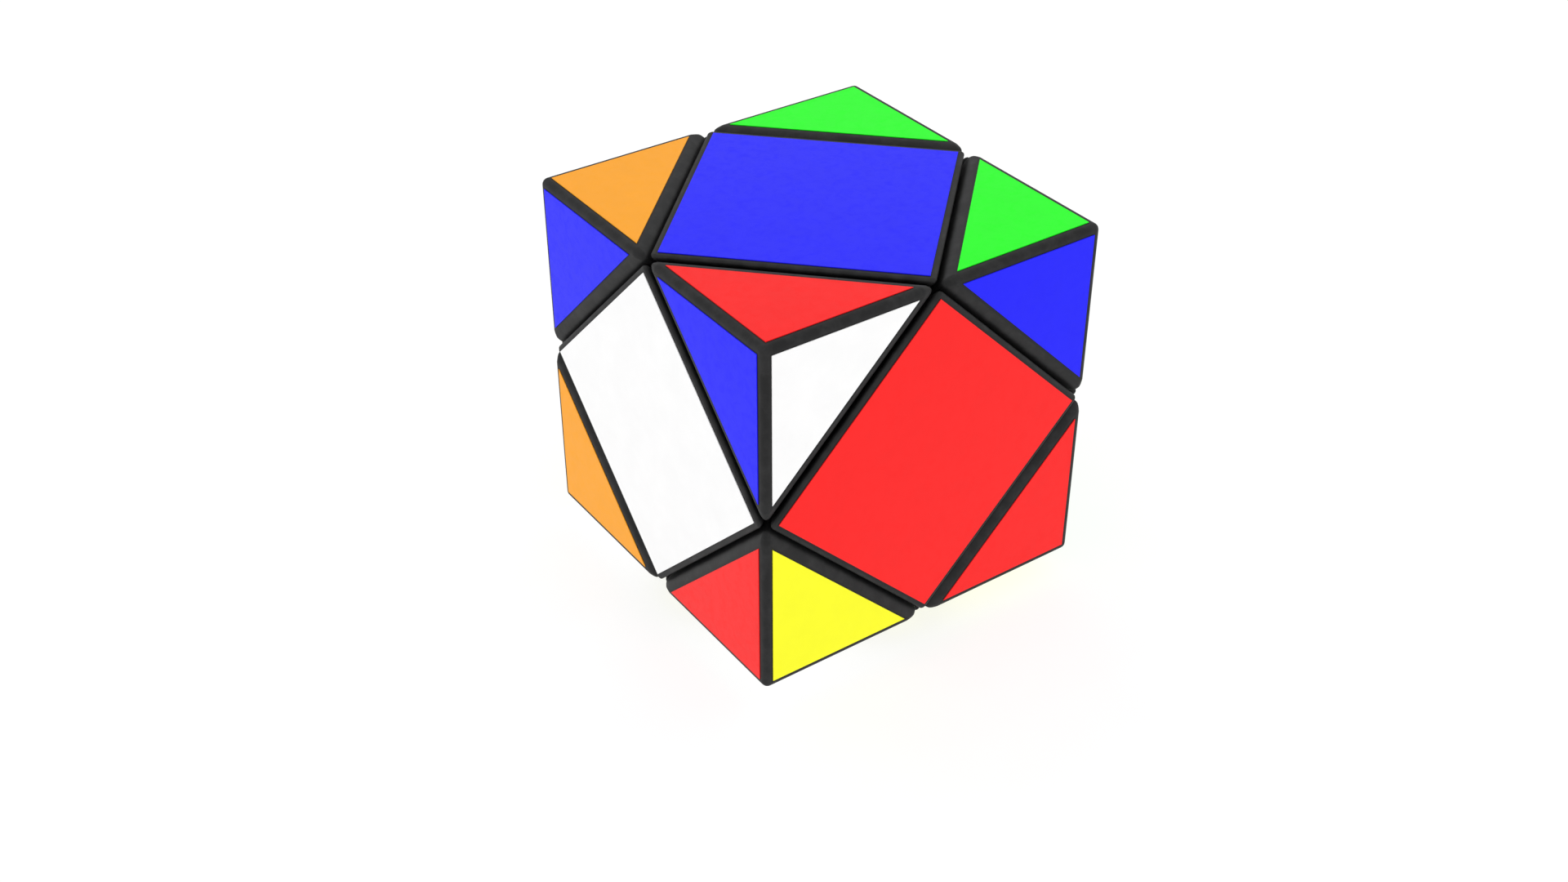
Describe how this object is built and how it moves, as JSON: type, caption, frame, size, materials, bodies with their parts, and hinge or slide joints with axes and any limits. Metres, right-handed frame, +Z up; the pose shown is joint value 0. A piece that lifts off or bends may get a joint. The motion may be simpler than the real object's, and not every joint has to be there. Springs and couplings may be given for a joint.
{
  "type": "corner-turning cube puzzle",
  "caption": "Hand-held cube puzzle in black plastic with coloured stickers. Cuts through its middle let either half turn about any corner.",
  "frame": {"origin": "middle of the core, where the four turning axes meet, which is the middle of the cube", "axes": "+Z up, out of the face with the blue centre; +X right, out of the red centre; -Y front, out of the white centre"},
  "size_m": [0.057, 0.057, 0.057],
  "materials": {
    "black_plastic": "satin moulded black ABS",
    "core_plastic": "satin moulded off-white nylon",
    "steel": "zinc-plated steel",
    "spring_steel": "drawn spring wire",
    "sticker_white": "flat white vinyl film",
    "sticker_red": "flat red vinyl film",
    "sticker_blue": "flat blue vinyl film",
    "sticker_orange": "flat orange vinyl film",
    "sticker_green": "flat green vinyl film",
    "sticker_yellow": "flat yellow vinyl film"
  },
  "bodies": {
    "core_set": {"core": "core_plastic", "screw_urf": "steel", "screw_ulb": "steel", "screw_dlf": "steel", "screw_drb": "steel"},
    "pivot_urf": {"corner_urf_shell": "black_plastic", "corner_urf_hub": "black_plastic", "spring_urf": "spring_steel", "sticker_urf_top": "sticker_red", "sticker_urf_front": "sticker_blue", "sticker_urf_right": "sticker_white"},
    "pivot_ulb": {"corner_ulb_shell": "black_plastic", "corner_ulb_hub": "black_plastic", "spring_ulb": "spring_steel", "sticker_ulb_top": "sticker_green", "sticker_ulb_left": "sticker_blue", "sticker_ulb_back": "sticker_orange"},
    "pivot_dlf": {"corner_dlf_shell": "black_plastic", "corner_dlf_hub": "black_plastic", "spring_dlf": "spring_steel", "sticker_dlf_bottom": "sticker_white", "sticker_dlf_left": "sticker_yellow", "sticker_dlf_front": "sticker_orange"},
    "pivot_drb": {"corner_drb_shell": "black_plastic", "corner_drb_hub": "black_plastic", "spring_drb": "spring_steel", "sticker_drb_bottom": "sticker_yellow", "sticker_drb_right": "sticker_red", "sticker_drb_back": "sticker_green"},
    "square_top": {"center_top": "black_plastic", "sticker_center_top": "sticker_blue"},
    "square_bottom": {"center_bottom": "black_plastic", "sticker_center_bottom": "sticker_yellow"},
    "square_front": {"center_front": "black_plastic", "sticker_center_front": "sticker_white"},
    "square_back": {"center_back": "black_plastic", "sticker_center_back": "sticker_green"},
    "square_right": {"center_right": "black_plastic", "sticker_center_right": "sticker_red"},
    "square_left": {"center_left": "black_plastic", "sticker_center_left": "sticker_orange"},
    "free_ufl": {"corner_ufl": "black_plastic", "sticker_ufl_top": "sticker_orange", "sticker_ufl_front": "sticker_blue", "sticker_ufl_left": "sticker_white"},
    "free_ubr": {"corner_ubr": "black_plastic", "sticker_ubr_top": "sticker_green", "sticker_ubr_back": "sticker_red", "sticker_ubr_right": "sticker_blue"},
    "free_dfr": {"corner_dfr": "black_plastic", "sticker_dfr_bottom": "sticker_white", "sticker_dfr_front": "sticker_red", "sticker_dfr_right": "sticker_yellow"},
    "free_dbl": {"corner_dbl": "black_plastic", "sticker_dbl_bottom": "sticker_orange", "sticker_dbl_back": "sticker_yellow", "sticker_dbl_left": "sticker_green"}
  },
  "joints": [
    {"name": "turn_urf", "type": "hinge", "parent": "core_set", "child": "pivot_urf", "pos_m": [0, 0, 0], "axis": [0.5774, -0.5774, 0.5774], "continuous": true},
    {"name": "turn_ulb", "type": "hinge", "parent": "core_set", "child": "pivot_ulb", "pos_m": [0, 0, 0], "axis": [-0.5774, 0.5774, 0.5774], "range_deg": [-360, 360]},
    {"name": "turn_dlf", "type": "hinge", "parent": "core_set", "child": "pivot_dlf", "pos_m": [0, 0, 0], "axis": [-0.5774, -0.5774, -0.5774], "range_deg": [-360, 360]},
    {"name": "turn_drb", "type": "hinge", "parent": "core_set", "child": "pivot_drb", "pos_m": [0, 0, 0], "axis": [0.5774, 0.5774, -0.5774], "range_deg": [-360, 360]},
    {"name": "square_top_about_ulb", "type": "hinge", "parent": "pivot_urf", "child": "square_top", "pos_m": [0, 0, 0], "axis": [-0.5774, 0.5774, 0.5774], "range_deg": [-360, 360]},
    {"name": "square_front_about_dlf", "type": "hinge", "parent": "pivot_urf", "child": "square_front", "pos_m": [0, 0, 0], "axis": [-0.5774, -0.5774, -0.5774], "range_deg": [-360, 360]},
    {"name": "square_right_about_drb", "type": "hinge", "parent": "pivot_urf", "child": "square_right", "pos_m": [0, 0, 0], "axis": [0.5774, 0.5774, -0.5774], "range_deg": [-360, 360]},
    {"name": "square_left_about_dlf", "type": "hinge", "parent": "pivot_ulb", "child": "square_left", "pos_m": [0, 0, 0], "axis": [-0.5774, -0.5774, -0.5774], "range_deg": [-360, 360]},
    {"name": "square_back_about_drb", "type": "hinge", "parent": "pivot_ulb", "child": "square_back", "pos_m": [0, 0, 0], "axis": [0.5774, 0.5774, -0.5774], "range_deg": [-360, 360]},
    {"name": "square_bottom_about_drb", "type": "hinge", "parent": "pivot_dlf", "child": "square_bottom", "pos_m": [0, 0, 0], "axis": [0.5774, 0.5774, -0.5774], "range_deg": [-360, 360]},
    {"name": "free_ufl_about_dlf", "type": "hinge", "parent": "square_top", "child": "free_ufl", "pos_m": [0, 0, 0], "axis": [-0.5774, -0.5774, -0.5774], "range_deg": [-360, 360]},
    {"name": "free_ubr_about_drb", "type": "hinge", "parent": "square_top", "child": "free_ubr", "pos_m": [0, 0, 0], "axis": [0.5774, 0.5774, -0.5774], "range_deg": [-360, 360]},
    {"name": "free_dfr_about_drb", "type": "hinge", "parent": "square_front", "child": "free_dfr", "pos_m": [0, 0, 0], "axis": [0.5774, 0.5774, -0.5774], "range_deg": [-360, 360]},
    {"name": "free_dbl_about_drb", "type": "hinge", "parent": "square_left", "child": "free_dbl", "pos_m": [0, 0, 0], "axis": [0.5774, 0.5774, -0.5774], "range_deg": [-360, 360]}
  ],
  "couplings": [
    {"joint": "square_top_about_ulb", "follows": "turn_ulb", "ratio": 1},
    {"joint": "square_front_about_dlf", "follows": "turn_dlf", "ratio": 1},
    {"joint": "square_right_about_drb", "follows": "turn_drb", "ratio": 1},
    {"joint": "square_left_about_dlf", "follows": "turn_dlf", "ratio": 1},
    {"joint": "square_back_about_drb", "follows": "turn_drb", "ratio": 1},
    {"joint": "square_bottom_about_drb", "follows": "turn_drb", "ratio": 1},
    {"joint": "free_ufl_about_dlf", "follows": "turn_dlf", "ratio": 1},
    {"joint": "free_ubr_about_drb", "follows": "turn_drb", "ratio": 1},
    {"joint": "free_dfr_about_drb", "follows": "turn_drb", "ratio": 1},
    {"joint": "free_dbl_about_drb", "follows": "turn_drb", "ratio": 1}
  ]
}
